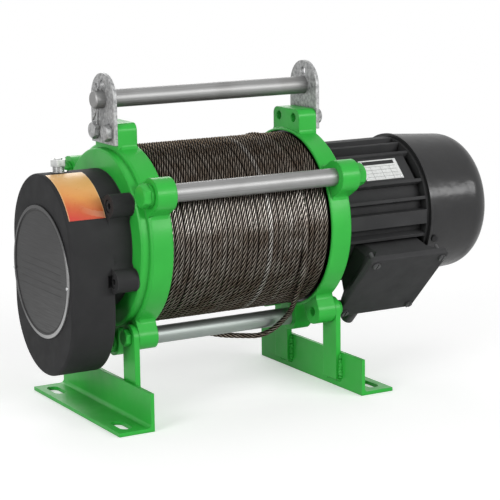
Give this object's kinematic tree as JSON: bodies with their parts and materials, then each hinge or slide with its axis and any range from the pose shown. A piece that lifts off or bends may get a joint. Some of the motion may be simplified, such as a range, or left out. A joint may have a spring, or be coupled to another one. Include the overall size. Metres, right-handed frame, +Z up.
{
  "type": "electric winch",
  "caption": "Electric rope winch: rope drum between cast end plates on angle feet, gearbox at one end, finned motor with terminal box at the other, hanger bar on top.",
  "frame": {"origin": "on the floor plane under the feet, below the middle of the drum", "axes": "+X along the drum axis from the gearbox to the motor, +Y to the rear, +Z up"},
  "size_m": [0.527, 0.2306, 0.357],
  "materials": {
    "green_paint": "semi-gloss green paint over rough castings and angle iron",
    "black_paint": "satin charcoal paint over aluminium and sheet steel",
    "bright_steel": "turned bright steel bar",
    "zinc_plate": "zinc plated fasteners",
    "galvanised": "mottled galvanised flat bar",
    "wire_rope": "greased stranded steel wire",
    "machined_steel": "machined and oiled steel",
    "cast_iron": "bare iron casting",
    "lamination": "stacked core sheets",
    "enamel_wire": "varnished copper winding",
    "aluminium": "die-cast aluminium",
    "plate_foil": "printed aluminium plate without text",
    "label_foil": "plain orange self-adhesive foil",
    "black_plastic": "moulded black plastic",
    "pale_plastic": "pale moulded plastic",
    "gasket_paper": "dark sealing sheet",
    "seal_rubber": "oil-proof rubber"
  },
  "bodies": {
    "frame": {"left_end_plate": "green_paint", "right_end_plate": "green_paint", "tie_rods": "bright_steel", "tie_rod_bolts": "green_paint", "spring_washers": "green_paint", "left_foot": "green_paint", "right_foot": "green_paint", "left_uprights": "green_paint", "right_uprights": "green_paint", "foot_bolts": "green_paint", "hanger_ears": "galvanised", "ear_bolts": "zinc_plate", "gear_cover": "black_paint", "cover_gasket": "gasket_paper", "cover_screws": "black_paint", "oil_plug": "zinc_plate", "cover_nameplate": "plate_foil", "nameplate_rivets": "aluminium", "cover_label": "label_foil", "drum_bearings": "machined_steel", "drum_seal": "seal_rubber", "gearbox_bearings": "machined_steel", "motor_bearings": "machined_steel", "stator_core": "lamination", "stator_windings": "enamel_wire", "front_shield": "aluminium", "rear_shield": "black_paint", "motor_studs": "zinc_plate", "motor_frame": "black_paint", "motor_nameplate": "plate_foil", "brake_magnet": "cast_iron", "fan_cowl": "black_paint", "cowl_screws": "black_paint", "terminal_box": "black_paint", "lid_gasket": "gasket_paper", "terminal_lid": "black_paint", "lid_screws": "black_paint", "cable_glands": "black_plastic", "terminal_block": "pale_plastic", "capacitor": "pale_plastic", "rope_tail": "wire_rope", "rope_ferrule": "zinc_plate"},
    "drum": {"drum": "cast_iron", "drum_gear": "machined_steel", "rope_winding": "wire_rope"},
    "rotor": {"through_shaft": "machined_steel", "rotor_core": "lamination", "brake_disc": "machined_steel", "cooling_fan": "black_plastic"},
    "layshaft": {"layshaft": "machined_steel", "layshaft_wheel": "machined_steel"},
    "hanger_bar": {"hanger_bar": "bright_steel", "split_pins": "zinc_plate"}
  },
  "joints": [
    {"name": "drum_spin", "type": "hinge", "parent": "frame", "child": "drum", "pos_m": [0, 0, 0.185], "axis": [1, 0, 0], "continuous": true},
    {"name": "rotor_spin", "type": "hinge", "parent": "frame", "child": "rotor", "pos_m": [0, 0, 0.185], "axis": [1, 0, 0], "continuous": true},
    {"name": "layshaft_spin", "type": "hinge", "parent": "frame", "child": "layshaft", "pos_m": [0, 0, 0.125], "axis": [1, 0, 0], "continuous": true},
    {"name": "hanger_bar_turn", "type": "hinge", "parent": "frame", "child": "hanger_bar", "pos_m": [0, 0, 0.33], "axis": [1, 0, 0], "continuous": true}
  ],
  "couplings": [
    {"joint": "layshaft_spin", "follows": "drum_spin", "ratio": -5.6667},
    {"joint": "rotor_spin", "follows": "drum_spin", "ratio": 39.667}
  ]
}
